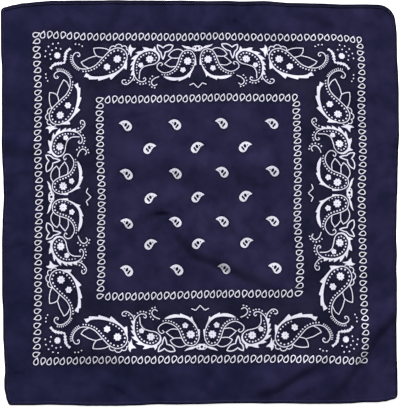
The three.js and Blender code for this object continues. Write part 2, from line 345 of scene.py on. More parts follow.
# How the printed cloth lies: a place in the drawn print (x, y) and on the laid cloth (x, y)
LANDMARKS = [
    (-220, 220, -221.6, 228.6), (-149.6, 220, -149.2, 225.6), (-70.4, 220, -71, 225.7),
    (0, 220, -4.3, 225.7), (70.4, 220, 63.9, 225.2), (149.6, 220, 144.9, 224.7),
    (220, 220, 215.8, 220.9), (-220, -220, -221.7, -214.5),
    (-149.6, -220, -150.6, -212.7), (-70.4, -220, -71.1, -212.1), (0, -220, 0.7, -211.6),
    (70.4, -220, 72.1, -211.1), (149.6, -220, 151.7, -211.1), (220, -220, 222.4, -213.8),
    (-220, 145.1, -219.1, 150.4), (-220, 70.2, -219.8, 77.7), (-220, -4.7, -217.7, 2.1),
    (-220, -79.6, -219.2, -71.6), (-220, -154.5, -219.7, -146.1), (220, 145.1, 219.2, 149.2),
    (220, 70.2, 221, 79.2), (220, -4.7, 219.4, 5.1), (220, -79.6, 221.1, -69.1),
    (220, -154.5, 223.1, -146.5), (-44.4, 133.2, -46.3, 141.7), (44.4, 133.2, 40.3, 143.7),
    (-44.4, -133.2, -46, -125.4), (44.4, -133.2, 42.9, -122.9), (-133.2, 44.4, -134.8, 52.8),
    (-133.2, -44.4, -134.1, -35), (133.2, 44.4, 132.6, 58), (133.2, -44.4, 132.4, -30.6),
    (-99.4, 98.9, -100, 105.6), (99.4, 98.9, 98.1, 108.3), (-99.4, -98.9, -98.4, -90.9),
    (99.4, -98.9, 102.6, -87.3), (0, 0, -3.4, 8.9), (-110, 189, -111.9, 195.4),
    (-66, 189, -67.8, 195.1), (-14.5, 187, -16.4, 192.5), (110, 189, 107.7, 195.3),
    (66, 189, 63.1, 195.6), (14.5, 187, 11.3, 195.1), (192.3, 192.3, 192.4, 199.5),
    (189, 110, 187.3, 120.8), (189, 66, 189.3, 80.7), (187, 14.5, 186.6, 28.2),
    (189, -110, 190.7, -99.3), (189, -66, 189.8, -53.7), (187, -14.5, 186.4, -0.3),
    (192.3, -192.3, 198.1, -184.7), (110, -189, 115.8, -179.3), (66, -189, 71.1, -179.1),
    (14.5, -187, 17, -177.8), (-110, -189, -111.4, -181.2), (-66, -189, -66.3, -181.3),
    (-14.5, -187, -12.2, -178), (-192.3, -192.3, -192.8, -186.1),
    (-189, -110, -188.1, -103.9), (-189, -66, -188.4, -58.7), (-187, -14.5, -185.2, -5.7),
    (-189, 110, -189.2, 119.3), (-189, 66, -189.7, 76.6), (-187, 14.5, -185.2, 23),
    (-192.3, 192.3, -193.1, 200.2), (-31.9, 98.9, -33.2, 107.1), (31.9, 98.9, 30, 108.8),
    (-65.6, 66.6, -68.6, 74.9), (-1, 66.6, -4.1, 76.2), (64.5, 66.6, 60.9, 77.1),
    (-99.4, 33.6, -98.8, 39.8), (-31.9, 33.6, -32.3, 40.6), (31.9, 33.6, 30.9, 42.5),
    (99.4, 33.6, 99.1, 44), (-65.6, 0, -67.2, 7.5), (64.5, 0, 61.5, 10.2),
    (-99.4, -33.2, -98.3, -27.2), (-31.9, -33.2, -32.4, -24.8), (31.9, -33.2, 31.2, -24.3),
    (99.4, -33.2, 99.2, -23.9), (-65.6, -64.2, -67.3, -55.1), (-1, -64.2, -2.8, -54.1),
    (64.5, -64.2, 62.8, -52.9), (-31.9, -98.9, -30.6, -89.8), (31.9, -98.9, 33.8, -88),
    (-115.4, -133.2, -117.2, -126.5), (-133.2, -115.4, -134.2, -107),
    (-115.4, 133.2, -117.2, 140.6), (-133.2, 115.4, -135.8, 122.3), (115.4, -133.2, 115, -122.7),
    (133.2, -115.4, 135.8, -102.7), (115.4, 133.2, 112.3, 143), (133.2, 115.4, 130.9, 125.2),
    (0, 204, -3.3, 210), (204, 0, 203, 14.2), (0, -204, 2.8, -194.7),
    (-204, 0, -201.3, 8.5),
]


def smooth_path(keys):
    """A smooth open curve through key points, with points at even steps"""
    keys = np.asarray(keys, float)
    gaps = np.hypot(*np.diff(keys, axis=0).T)
    at = np.concatenate([[0.0], np.cumsum(np.sqrt(gaps))])
    slopes = np.gradient(keys, at, axis=0)
    fine = np.linspace(0.0, at[-1], KEY_STEPS * len(keys))
    index = np.clip(np.searchsorted(at, fine, side="right") - 1, 0, len(keys) - 2)
    width = (at[index + 1] - at[index])[:, None]
    t = ((fine - at[index])[:, None]) / width
    curve = (
        (2 * t**3 - 3 * t**2 + 1) * keys[index]
        + (t**3 - 2 * t**2 + t) * width * slopes[index]
        + (3 * t**2 - 2 * t**3) * keys[index + 1]
        + (t**3 - t**2) * width * slopes[index + 1]
    )
    return even(curve, STEP)


def even(curve, step):
    """The same curve with points at even steps"""
    run = np.concatenate([[0.0], np.cumsum(np.hypot(*np.diff(curve, axis=0).T))])
    count = max(2, int(round(run[-1] / step)) + 1)
    at = np.linspace(0.0, run[-1], count)
    return np.column_stack([np.interp(at, run, curve[:, axis]) for axis in (0, 1)])


def normals_of(path):
    """Unit normals on the left of a path"""
    along = np.gradient(path, axis=0)
    along /= np.maximum(np.hypot(*along.T), TINY)[:, None]
    return np.column_stack([-along[:, 1], along[:, 0]])


def stroke(path, width):
    """Outline of a line drawn along a path, rounded at its ends"""
    normal = normals_of(path)
    share = np.linspace(0.0, 1.0, len(path))
    if not np.isscalar(width):
        width = np.interp(share, np.linspace(0.0, 1.0, len(width)), width)
    half = np.broadcast_to(np.asarray(width, float) / 2, share.shape)[:, None]
    along = np.column_stack([normal[:, 1], -normal[:, 0]])
    head = path[-1] + along[-1] * half[-1]
    tail = path[0] - along[0] * half[0]
    return np.vstack([tail, path + normal * half, head, (path - normal * half)[::-1]])


def bowed(rows):
    """A closed outline of (x, y, bow) rows; bow is how far the side to the next row swells out"""
    corners = np.array(rows, float)[:, :2]
    ahead = np.roll(corners, -1, axis=0)
    turn = np.sum(corners[:, 0] * ahead[:, 1] - ahead[:, 0] * corners[:, 1])
    outward = -1.0 if turn > 0 else 1.0
    points = []
    for (_, _, bow), start, end in zip(rows, corners, ahead):
        points.extend(arc(start, end, outward * bow)[:-1])
    return np.array(points)


def arc(start, end, bow):
    """An arc between two points that swells by bow times its chord"""
    start, end = np.asarray(start, float), np.asarray(end, float)
    chord = end - start
    side = np.array([-chord[1], chord[0]])
    steps = max(2, int(math.ceil(math.hypot(*chord) / STEP)))
    share = np.linspace(0.0, 1.0, steps + 1)[:, None]
    return start + chord * share + side * (4 * bow * share * (1 - share))


def scallop(start, end, bow):
    """Half of an ellipse on the chord between two points, bow times the chord high"""
    start, end = np.asarray(start, float), np.asarray(end, float)
    chord = end - start
    side = np.array([-chord[1], chord[0]])
    angle = np.linspace(0.0, math.pi, SCALLOP_POINTS)[:, None]
    return start + chord * (1 - np.cos(angle)) / 2 + side * bow * np.sin(angle)


def ring(centre, radius, points=RING_POINTS):
    """A small round dot"""
    angle = np.arange(points) * 2 * math.pi / points + RING_TURN
    return np.asarray(centre) + radius * np.column_stack([np.cos(angle), np.sin(angle)])


def flower(centre, radius, petals, depth=0.24):
    """A round flower with scalloped petals"""
    count = petals * PETAL_POINTS
    angle = np.arange(count) * 2 * math.pi / count
    reach = radius * (1 - depth * (0.5 - 0.5 * np.cos(petals * angle)) ** 1.5)
    angle = angle + PETAL_TURN
    return np.asarray(centre) + np.column_stack([np.cos(angle), np.sin(angle)]) * reach[:, None]


def beads(path, offset, pitches, sizes, start=0.0):
    """Dots in a row beside a path, from a share of its length to its end"""
    beside = path + normals_of(path) * offset
    beside = even(beside[int(start * (len(path) - 1)) :], BEAD_STEP)
    dots = []
    at = 0.0
    while at < len(beside):
        share = at / len(beside)
        radius = np.interp(share, np.linspace(0, 1, len(sizes)), sizes)
        dots.append((INK, ring(beside[int(at)], radius)))
        at += np.interp(share, np.linspace(0, 1, len(pitches)), pitches) / BEAD_STEP
    return dots


def ticks(path, offset, pitch, length, start, end):
    """Short bars in a row beside a path, standing across it"""
    span = path[int(start * (len(path) - 1)) : int(end * (len(path) - 1)) + 1]
    feet = even(span, pitch)
    across = normals_of(feet)
    bars = []
    for foot, side in zip(feet, across):
        middle = foot + side * offset
        ends = np.array([middle - side * length / 2, middle + side * length / 2])
        bars.append((INK, stroke(ends, TICK_WIDTH)))
    return bars


def drop(centre, degrees):
    """A drop drawn as a line round dyed cloth, with its tip in the given direction"""
    t = np.arange(DROP_POINTS) * 2 * math.pi / DROP_POINTS
    width = np.sin(t) * np.abs(np.sin(t / 2)) ** DROP_TAPER
    shape = np.column_stack([np.cos(t) * 0.5, width * 0.5])
    turn = math.radians(degrees)
    along = np.array([math.cos(turn), math.sin(turn)])
    side = np.array([-along[1], along[0]])

    def placed(length, width, slide):
        local = shape * (length, width)
        local[:, 0] += slide
        return np.asarray(centre) + local[:, :1] * along + local[:, 1:] * side

    return [(INK, placed(*DROP_RIM)), (DEEP, placed(*DROP_EYE))]


def rings_of_drops():
    """The outer and inner rings, whose drops point to and fro"""
    marks = []
    for step in range(OUTER_COLUMNS + 1):
        u = -OUTER + 2 * OUTER * step / OUTER_COLUMNS
        if step > 0:
            marks += drop((u, OUTER), UP if step % 2 else DOWN)
        if step < OUTER_COLUMNS:
            marks += drop((u, -OUTER), DOWN if step % 2 else UP)
    for step in range(OUTER_ROWS + 1):
        v = OUTER - 2 * OUTER * step / OUTER_ROWS
        if step < OUTER_ROWS:
            marks += drop((-OUTER, v), LEFT if step % 2 else RIGHT)
        if step > 0:
            marks += drop((OUTER, v), LEFT if step % 2 else RIGHT)
    for step in range(1, INNER_STEPS + 1):
        u = -INNER_ROW + 2 * INNER_ROW * step / INNER_STEPS
        marks += drop((u, INNER), UP if step % 2 else DOWN)
        if step < INNER_STEPS:
            marks += drop((u, -INNER), UP if step % 2 else DOWN)
    for step in range(INNER_STEPS + 1):
        v = INNER - 2 * INNER * step / INNER_STEPS
        marks += drop((-INNER, v), LEFT if step % 2 else RIGHT)
        if step > 0:
            marks += drop((INNER, v), LEFT if step % 2 else RIGHT)
    return marks


# Half of one side of the border: (distance from the side's middle, depth in from the drops)
SHELL_A = [
    (165.0, 27.0), (163.6, 28.6), (162.0, 26.6), (163.2, 23.6), (167, 22.8), (170.6, 26.4),
    (171.6, 32), (168.5, 39),
    (161.5, 44.5), (152, 45), (141, 40.5), (130, 29), (120.5, 19.5), (110.5, 15.5),
    (101.5, 18.5), (97, 26), (97.5, 34), (101, 40.5),
]
SHELL_B = [
    (74.5, 58.5), (72.5, 57), (71, 59.5), (73, 62), (78.5, 62.5), (84.5, 58), (87, 51),
    (87.5, 43), (86.5, 34.5), (82, 26.5), (75, 21), (66.5, 18.5), (59, 20.5), (54, 26.5),
    (54.5, 33), (59.5, 37.5), (67.5, 39.5), (75, 42.5), (79, 48.5), (80, 58.5),
]
SHELL_C = [
    (50.5, 39.5), (48.5, 37.5), (51.5, 35.5), (55, 38), (56, 43), (52, 47.5), (45.5, 50),
    (37.5, 47.5), (31, 41.5), (27.5, 33), (25, 26), (20.6, 19.8), (14.5, 17.8), (9.4, 19.0),
    (6.0, 22.4), (3.9, 27.4), (3.3, 33.5),
]

# The two crescents, with their barbs, as (x, y, bow) rows
CRESCENT_A = [
    (97.0, 31.0, 0), (96.6, 38.0, 0.02), (97.2, 45.8, 0), (101.2, 43.8, 0.02), (107.4, 49.8, 0),
    (112.6, 54.4, 0.02), (118.4, 59.8, 0), (120.6, 56.0, 0.04), (128.6, 59.2, 0.02),
    (135.2, 61.2, 0), (136.4, 58.8, 0.02), (142.0, 59.4, 0.02), (148.8, 59.4, 0),
    (149.6, 56.9, 0), (155.8, 56.0, -0.06), (154.2, 53.6, 0), (152.6, 50.8, 0.04),
    (148.0, 54.0, -0.04), (142.0, 55.5, 0), (135.2, 55.6, 0), (128.4, 54.8, 0), (121.0, 53.0, 0),
    (114.0, 50.6, 0), (106.8, 46.2, -0.02), (101.4, 40.4, 0), (98.3, 32.0, 0),
]
CRESCENT_C = [
    (3.0, 30.0, 0), (2.4, 35.0, 0), (2.4, 39.4, 0), (5.2, 40.4, 0), (6.0, 43.4, 0), (7.4, 46.8, 0),
    (9.8, 51.2, 0), (11.8, 57.8, 0), (13.6, 55.4, 0.02), (18.4, 58.6, 0), (22.4, 60.3, 0),
    (26.6, 62.2, 0), (27.2, 59.8, 0.04), (32.2, 61.1, 0.03), (38.9, 60.2, 0.03),
    (43.2, 58.4, 0.02), (47.6, 55.2, 0), (44.2, 55.2, 0), (37.6, 56.2, -0.02), (30.8, 56.9, 0),
    (25.5, 56.6, 0), (20.6, 55.7, -0.02), (15.9, 53.0, 0), (12.6, 50.0, 0), (10.4, 47.2, 0),
    (8.0, 43.6, 0), (5.8, 39.6, 0), (4.9, 36.0, 0), (4.8, 31.0, 0),
]
TAIL_B = [
    (87, 52.5), (88, 58), (92, 63), (98, 66.5), (102.5, 65), (103.5, 62), (101, 60), (98.5, 60.5),
]
HOOK = [(53.5, 55.4), (58.5, 57.5), (62.5, 61), (63.5, 64.5), (60, 68.5), (56, 66.5)]

# The quill outside the middle paisley's shell: its gap from the shell and its widths
QUILL_GAP = 0.6
QUILL_WIDTHS = [0.8, 1.8, 2.1, 2.4, 2.8, 3.0, 2.6, 1.2]

# The bows of a barb's two sides
BARB_BOWS = (0.1, -0.14)

# The feather on the quill: root, tip and root of each barb
FEATHER = [
    ((57.6, 20.2), (60.4, 13.0), (66.0, 19.4)), ((63.5, 18.6), (76.6, 14.8), (74.0, 21.4)),
    ((73.5, 20.4), (85.8, 22.4), (80.8, 26.0)), ((80.0, 24.0), (91.6, 31.6), (85.4, 33.0)),
    ((84.4, 31.0), (92.0, 40.0), (87.4, 40.6)), ((86.8, 38.4), (91.8, 46.8), (87.6, 47.6)),
    ((87.2, 45.4), (91.0, 53.6), (87.0, 54.6)),
]

# Outlined leaves, each side as key points from its tip
LEAVES = [
    [(143.5, 16), (137, 15.4), (130.5, 15.8), (125, 17.2), (120.5, 19.5)],
    [(143.5, 16), (142.5, 21), (139, 26.5), (130.5, 29)],
    [(160, 36), (154, 32.6), (149.5, 30), (139, 26.5)],
    [(160, 36), (156.5, 40.5), (149.5, 44)],
    [(41, 25.5), (37.5, 20.5), (31, 16.8), (25.5, 16.6), (20.5, 19)],
    [(41, 25.5), (36, 28.5), (26.5, 28.5)],
    [(46, 37), (41, 32), (37, 29)],
    [(46, 37), (39, 41), (30.5, 40.5)],
]
SCALLOPS = [
    ((120.7, 18.4), (113.6, 14.2), 0.4), ((113.6, 14.2), (104.4, 14.2), 0.42),
    ((104.4, 14.2), (98.0, 17.8), 0.44), ((98.0, 17.8), (95.6, 24.6), 0.3),
]
TULIP_SOLID = [
    (92.7, 10.5, -0.1), (91.0, 15.2, -0.06), (85.2, 15.7, 0.06), (89.6, 20.0, -0.04),
    (91.4, 28.3, 0.02), (93.9, 21.2, 0.05), (95.4, 15.4, 0.08),
]
TULIP_LINE = [
    (56.2, 11.0, 0.08), (48.4, 15.0, 0.16), (34.4, 11.2, 0.16), (45.2, 20.4, 0.04),
    (48.2, 30.8, 0.04), (51.2, 21.2, 0.14),
]

# Half of the double leaf on the middle line
DOUBLE_LEAF = [
    (0, 12.1, 0), (3.4, 12.2, 0.03), (5.8, 13.4, 0.06), (7.4, 15.2, -0.08), (11.0, 13.5, 0.04),
    (16.4, 12.6, 0), (22.4, 10.8, 0.02), (19.6, 13.6, 0.03), (15.5, 15.5, 0.02),
    (11.2, 16.5, 0), (8.3, 16.9, -0.06), (6.2, 18.6, 0.06), (3.4, 19.9, 0.05), (0, 19.8, 0),
]

# Flowers: place, radius, petals and the radius of the eye
FLOWERS = [
    ((110, 31), 5.4, 8, 0.6), ((124, 42), 4.7, 6, 0.5), ((66, 31), 5.3, 8, 0.6),
    ((78, 39.5), 3.7, 5, 0.4), ((14.5, 33), 5.5, 8, 0.6), ((21, 45.5), 4.0, 5, 0.4),
]
LOOSE_DOT = 1.0
LOOSE_DOTS = [
    (168.2, 11.3), (163.4, 11.4), (159.2, 13.6), (90.5, 52.9), (92, 57.1), (94.4, 61.2),
    (97.9, 63.9), (86.8, 60.2), (82.7, 63.9), (78.9, 65.9), (74.6, 65.9), (71.2, 64.8),
    (62.3, 54.9), (65.3, 58.4), (66.7, 62.8), (65.9, 67.0), (63.0, 70.2), (59.1, 71.3),
]


def border_half():
    """Half of one side of the border, in side coordinates"""
    shell_a, shell_b, shell_c = (smooth_path(keys) for keys in (SHELL_A, SHELL_B, SHELL_C))
    quill = smooth_path(SHELL_B[6:15])
    quill = quill + normals_of(quill) * QUILL_GAP
    shapes = [bowed(CRESCENT_A), bowed(CRESCENT_C), stroke(quill, QUILL_WIDTHS)]
    for root, tip, end in FEATHER:
        shapes.append(bowed([(*root, BARB_BOWS[0]), (*tip, BARB_BOWS[1]), (*end, 0)]))
    lines = [shell_a, shell_b, shell_c] + [smooth_path(keys) for keys in (TAIL_B, HOOK, *LEAVES)]
    lines += [scallop(*row) for row in SCALLOPS]
    shapes += [stroke(line, LINE) for line in lines]
    shapes.append(bowed(TULIP_SOLID))
    outline = bowed(TULIP_LINE)
    shapes.append(stroke(np.vstack([outline, outline[:1]]), TULIP_WIDTH))
    marks = [(INK, shape) for shape in shapes]

    rim_a = smooth_path(SHELL_A[4:-1] + [(100, 39.5), (107, 46.5), (115, 51.5), (122, 54)])
    rim_b = smooth_path(SHELL_B[6:16])
    rim_c = smooth_path(SHELL_C[3:] + [(4, 38), (8, 46)])
    marks += ticks(rim_a, offset=-2.5, pitch=2.3, length=2.0, start=0.05, end=0.19)
    marks += beads(rim_a, -3.3, [3.9, 4.4, 5.4, 5.3, 4.2], [1.0, 1.1, 1.2, 1.2, 0.9], 0.22)
    marks += beads(rim_b, -3.9, [4.0, 4.2, 4.0], [0.8, 1.1, 1.15, 0.95])
    marks += beads(rim_c, -3.1, [3.6, 3.9, 4.6, 4.6, 4.2], [0.8, 1.1, 1.15, 1.1, 0.6], 0.16)

    for centre, radius, petals, eye in FLOWERS:
        marks.append((INK, flower(centre, radius, petals)))
        marks.append((DEEP, ring(centre, eye)))
    return marks + [(INK, ring(place, LOOSE_DOT)) for place in LOOSE_DOTS]


# Dyed marks in the double leaf: its eye, and on each side a dot and a short vein
LEAF_EYE = ((0, 16), 1.9, 10)
LEAF_DOT = (4.3, 14.7, 1.1)
LEAF_VEIN = [(4.4, 18.6), (5.4, 17.4)]
LEAF_VEIN_WIDTH = 0.7
ZIGZAG = [(-11.5, 68), (-6.2, 65.6), (0, 72.4), (6.2, 65.6), (11.5, 68)]


def border_middle():
    """What stands on the middle line of one side"""
    leaf = bowed(DOUBLE_LEAF)
    marks = [(INK, leaf), (INK, leaf * (-1, 1)), (DEEP, ring(*LEAF_EYE))]
    for side in (-1, 1):
        across, depth, radius = LEAF_DOT
        marks.append((DEEP, ring((side * across, depth), radius)))
        marks.append((DEEP, stroke(np.array(LEAF_VEIN) * (side, 1), LEAF_VEIN_WIDTH)))
    marks.append((INK, stroke(even(np.array(ZIGZAG), STEP), LINE)))
    return marks


# A twig of the corner sprig: its path, the lumps on it and its arrow-like end
TWIG = [(37.4, 37.4), (38.0, 33.4), (38.3, 29), (39.0, 24.6), (40.6, 21.6), (43.4, 19.2)]
TWIG_LUMPS = [
    ((36.9, 36.9), 1.5), ((38.0, 32.6), 2.2), ((38.4, 28.8), 2.4), ((39.2, 24.8), 2.4),
    ((40.9, 21.5), 2.0),
]
TWIG_TIP = [(41.6, 19.0, -0.05), (43.6, 16.4, 0.05), (46.2, 19.2, 0.05), (43.4, 20.6, 0)]
TWIG_WIDTH = 1.7

# The sprig's flower, and its fans of dots: count, distance and degrees between dots
SPRIG_MIDDLE = 27.7
SPRIG_RADIUS = 4.3
FANS = ((5, 10.0, 36.0), (5, 16.6, 24.5))
FAN_DIRECTION = 225
FAN_DOT = 1.05


def corner_sprig():
    """The flower, its fan of dots and its two twigs, in corner coordinates"""
    centre = np.array([SPRIG_MIDDLE, SPRIG_MIDDLE])
    marks = [(INK, flower(centre, SPRIG_RADIUS, 8, 0.14))]
    for count, radius, spread in FANS:
        for index in range(count):
            angle = math.radians(FAN_DIRECTION + spread * (index - (count - 1) / 2))
            place = centre + radius * np.array([math.cos(angle), math.sin(angle)])
            marks.append((INK, ring(place, FAN_DOT)))
    for swap in (False, True):
        turn = (lambda points: np.asarray(points)[:, ::-1]) if swap else np.asarray
        marks.append((INK, turn(stroke(smooth_path(TWIG), TWIG_WIDTH))))
        for place, radius in TWIG_LUMPS:
            marks.append((INK, turn(flower(place, radius, 5, 0.4))))
        marks.append((INK, turn(bowed(TWIG_TIP))))
    return marks


# The small paisley round its middle, with its tail at the upper left
PAISLEY = [
    (-10.2, 2.6), (-6.8, 5.3), (-1.5, 6.9), (3.4, 5.4), (7.2, 1.6), (8.8, -2.2), (7.6, -6.2),
    (3.9, -8.4), (0.3, -7.9), (-2.6, -4.9), (-4.6, -1.2), (-7.0, 1.2), (-10.2, 2.6),
]
PAISLEY_SIZE = 0.93

# The dyed marks in it, as (path, width), and the dyed dot of its tail
PAISLEY_LINES = [
    ([(-0.9, -0.6), (-0.3, 0.6), (0.2, 1.8)], 3.9),
    ([(1.4, -5.0), (2.0, -3.4), (3.4, -2.4), (4.0, -0.8)], 2.9),
]
PAISLEY_DOT = ((-4.0, 2.1), 1.0)

# Rows of small paisleys: height of the row, whether they are mirrored, and their places
PAISLEY_ROWS = [
    (98.9, False, (-99.4, -31.9, 31.9, 99.4)), (66.6, True, (-65.6, -1.0, 64.5)),
    (33.6, False, (-99.4, -31.9, 31.9, 99.4)), (0.0, True, (-65.6, 0.0, 64.5)),
    (-33.2, False, (-99.4, -31.9, 31.9, 99.4)), (-64.2, True, (-65.6, -1.0, 64.5)),
    (-98.9, False, (-99.4, -31.9, 31.9, 99.4)),
]


def small_paisley(centre, mirrored):
    """One paisley of the field, with its dyed marks"""
    marks = [(FAINT, smooth_path(PAISLEY)[:-1])]
    marks += [(DEEP, stroke(np.array(path), width)) for path, width in PAISLEY_LINES]
    marks.append((DEEP, ring(*PAISLEY_DOT)))
    flip = np.array([-1.0 if mirrored else 1.0, 1.0])
    return [(ink, PAISLEY_SIZE * points * flip + np.asarray(centre)) for ink, points in marks]


def drawn_print():
    """Every mark of the print, later ones over earlier ones"""
    marks = rings_of_drops()
    half, middle, sprig = border_half(), border_middle(), corner_sprig()
    for quarter in range(4):
        angle = -math.pi / 2 * quarter
        turn = np.array([[math.cos(angle), -math.sin(angle)], [math.sin(angle), math.cos(angle)]])
        for side, drawn in ((-1, half), (1, half), (1, middle)):
            for ink, points in drawn:
                upright = np.column_stack([side * points[:, 0], OUTER - points[:, 1]])
                marks.append((ink, upright @ turn.T))
        for ink, points in sprig:
            corner = OUTER - points
            marks.append((ink, corner @ turn.T))
    for v, mirrored, places in PAISLEY_ROWS:
        for u in places:
            marks += small_paisley((u, v), mirrored)
    return marks


def bending(landmarks):
    """The smooth bend that carries the drawn print to the laid cloth"""
    rows = np.array(landmarks, float)
    source, target = rows[:, :2], rows[:, 2:]

    def pull(points):
        gap = np.hypot(*(points[:, None, :] - source[None, :, :]).transpose(2, 0, 1))
        return gap**2 * np.log(np.maximum(gap, TINY))

    count = len(rows)
    system = np.zeros((count + 3, count + 3))
    system[:count, :count] = pull(source)
    flat = np.column_stack([np.ones(count), source])
    system[:count, count:] = flat
    system[count:, :count] = flat.T
    answer = np.linalg.solve(system, np.vstack([target, np.zeros((3, 2))]))

    def bend(points):
        plane = np.column_stack([np.ones(len(points)), points])
        return pull(points) @ answer[:count] + plane @ answer[count:]

    return bend


def inside(points, outline):
    """Whether points lie in a closed outline, which may cross itself"""
    x, y = points[:, :1], points[:, 1:]
    x0, y0 = outline[:, 0], outline[:, 1]
    x1, y1 = np.roll(x0, -1), np.roll(y0, -1)
    side = (x1 - x0) * (y - y0) - (x - x0) * (y1 - y0)
    rising = (y0 <= y) & (y1 > y) & (side > 0)
    falling = (y0 > y) & (y1 <= y) & (side < 0)
    return rising.sum(1) != falling.sum(1)


bend = bending(LANDMARKS)
print_marks = [(ink, bend(points)) for ink, points in drawn_print()]


# How far the lattice is slid off the print's own points, and the gap at which points join
LATTICE_SLIDE = 0.137
JOIN_GAP = 1e-4


def cloth_plan(outline):
    """Triangles of the cloth seen from above, and the ink on each"""
    rows = [outline] + [points for _, points in print_marks]
    edges = []
    first = 0
    for points in rows:
        count = len(points)
        edges += [(first + index, first + (index + 1) % count) for index in range(count)]
        first += count
    columns = np.arange(-HALF_WIDTH, HALF_WIDTH, GRID)
    lines = np.arange(-HALF_DEPTH, HALF_DEPTH, GRID * math.sqrt(0.75))
    lattice = [(x + (index % 2) * GRID / 2, y) for index, y in enumerate(lines) for x in columns]
    lattice = np.array(lattice) + LATTICE_SLIDE
    lattice = lattice[inside(lattice, outline_at(PANEL_INSET + GRID / 3))]
    points = np.vstack([*rows, lattice])
    flat, _, faces, _, _, _ = delaunay_2d_cdt(points.tolist(), edges, [], 0, JOIN_GAP)
    flat = np.array([tuple(point) for point in flat])
    faces = np.array([tuple(face) for face in faces])
    middles = flat[faces].mean(axis=1)
    kept = inside(middles, outline)
    faces, middles = faces[kept], middles[kept]

    order = np.argsort(middles[:, 0])
    sorted_x = middles[order, 0]
    inks = np.zeros(len(faces), int)
    for ink, outline_points in print_marks:
        low, high = outline_points.min(0), outline_points.max(0)
        near = order[np.searchsorted(sorted_x, low[0]) : np.searchsorted(sorted_x, high[0])]
        near = near[(middles[near, 1] >= low[1]) & (middles[near, 1] <= high[1])]
        if len(near):
            inks[near[inside(middles[near], outline_points)]] = ink
    used, faces = np.unique(faces, return_inverse=True)
    faces = faces.reshape(-1, 3)
    near = np.zeros(len(used))
    near[faces[inks != 0].ravel()] = 1.0
    return flat[used], faces, inks, near


SLOPE_REACH = 0.6


def surface_normals(x, y, sign):
    """Normals of the cloth's surface at places on it"""
    left, right = cloth_height(x - SLOPE_REACH, y), cloth_height(x + SLOPE_REACH, y)
    below, above = cloth_height(x, y - SLOPE_REACH), cloth_height(x, y + SLOPE_REACH)
    slope_x, slope_y = (right - left) / (2 * SLOPE_REACH), (above - below) / (2 * SLOPE_REACH)
    normals = np.column_stack([-slope_x, -slope_y, np.ones(len(x))]) * sign
    return normals / np.linalg.norm(normals, axis=1)[:, None]


def new_mesh(name, vertices, faces):
    """An object from points in millimetres"""
    mesh = bpy.data.meshes.new(name)
    mesh.from_pydata((np.asarray(vertices) * MM).tolist(), [], faces)
    mesh.update()
    made = bpy.data.objects.new(name, mesh)
    bpy.context.scene.collection.objects.link(made)
    return made


# Materials

SHEEN_ROUGHNESS = 0.45
SHEEN_TINT = (0.75, 0.78, 1.0)


def shader(name, roughness, specular, sheen=0.0, sheen_tint=(1, 1, 1)):
    """A new material with its shader's plain values set"""
    material = bpy.data.materials.new(name)
    material.use_nodes = True
    principled = material.node_tree.nodes["Principled BSDF"]
    principled.inputs["Roughness"].default_value = roughness
    principled.inputs["Specular IOR Level"].default_value = specular
    principled.inputs["Sheen Weight"].default_value = sheen
    principled.inputs["Sheen Roughness"].default_value = SHEEN_ROUGHNESS
    principled.inputs["Sheen Tint"].default_value = (*sheen_tint, 1)
    return material, material.node_tree, principled


def node(tree, kind, **settings):
    """A node with its inputs or settings given by name"""
    made = tree.nodes.new(kind)
    for key, value in settings.items():
        if key in made.inputs:
            made.inputs[key].default_value = value
        else:
            setattr(made, key, value)
    return made


# The weave in metres: the spacing of its threads and how far it stands up
WEAVE_PITCH = 0.00042
WEAVE_DEPTH = 0.00012

# A wave texture repeats 20 / (2 pi) times for each unit of its scale
WAVES_PER_SCALE = 20 / (2 * math.pi)

# How much a thread's slubs add to its height
SLUB_SHARE = 0.6

# The mesh attribute that holds how dark the dyed cloth is: darkest beside the ink, least in the
# middle, whose lighter tone is painted sheen, and lower on the right, which is painted light
DYE_AND_PAINTED_LIGHT = "dye_and_painted_light"


def weave(tree):
    """Height of a plain weave: threads over and under each other"""
    place = node(tree, "ShaderNodeTexCoord")
    wobble = node(tree, "ShaderNodeTexNoise", Scale=900.0, Detail=2.0)
    tree.links.new(place.outputs["Object"], wobble.inputs["Vector"])
    threads = []
    for direction in ("X", "Y"):
        scale = 1 / (WAVES_PER_SCALE * WEAVE_PITCH)
        wave = node(tree, "ShaderNodeTexWave", Scale=scale, Distortion=0.6)
        wave.bands_direction = direction
        wave.inputs["Detail Scale"].default_value = 1.5
        tree.links.new(place.outputs["Object"], wave.inputs["Vector"])
        threads.append(wave)
    both = node(tree, "ShaderNodeMath", operation="MULTIPLY")
    tree.links.new(threads[0].outputs["Fac"], both.inputs[0])
    tree.links.new(threads[1].outputs["Fac"], both.inputs[1])
    slub = node(tree, "ShaderNodeMath", operation="MULTIPLY_ADD")
    slub.inputs[1].default_value = SLUB_SHARE
    tree.links.new(wobble.outputs["Fac"], slub.inputs[0])
    tree.links.new(both.outputs[0], slub.inputs[2])
    return place, slub


def ranged(tree, value, low, high, top=1.0):
    """A value spread from between low and high to between 0 and top"""
    spread = node(tree, "ShaderNodeMapRange", **{"From Min": low, "From Max": high, "To Max": top})
    tree.links.new(value, spread.inputs["Value"])
    return spread.outputs["Result"]


def mixed(tree, factor, dark, light):
    """A colour between two, by a factor"""
    mix = node(tree, "ShaderNodeMix", data_type="RGBA")
    tree.links.new(factor, mix.inputs["Factor"])
    mix.inputs[6].default_value = (*dark, 1)
    mix.inputs[7].default_value = (*light, 1)
    return mix.outputs[2]


# Where the noise of the clouds and of the specks begins and ends, and the specks' full share
CLOUD_RANGE = (0.38, 0.62)
SPECK_RANGE = (0.62, 0.8, 0.5)


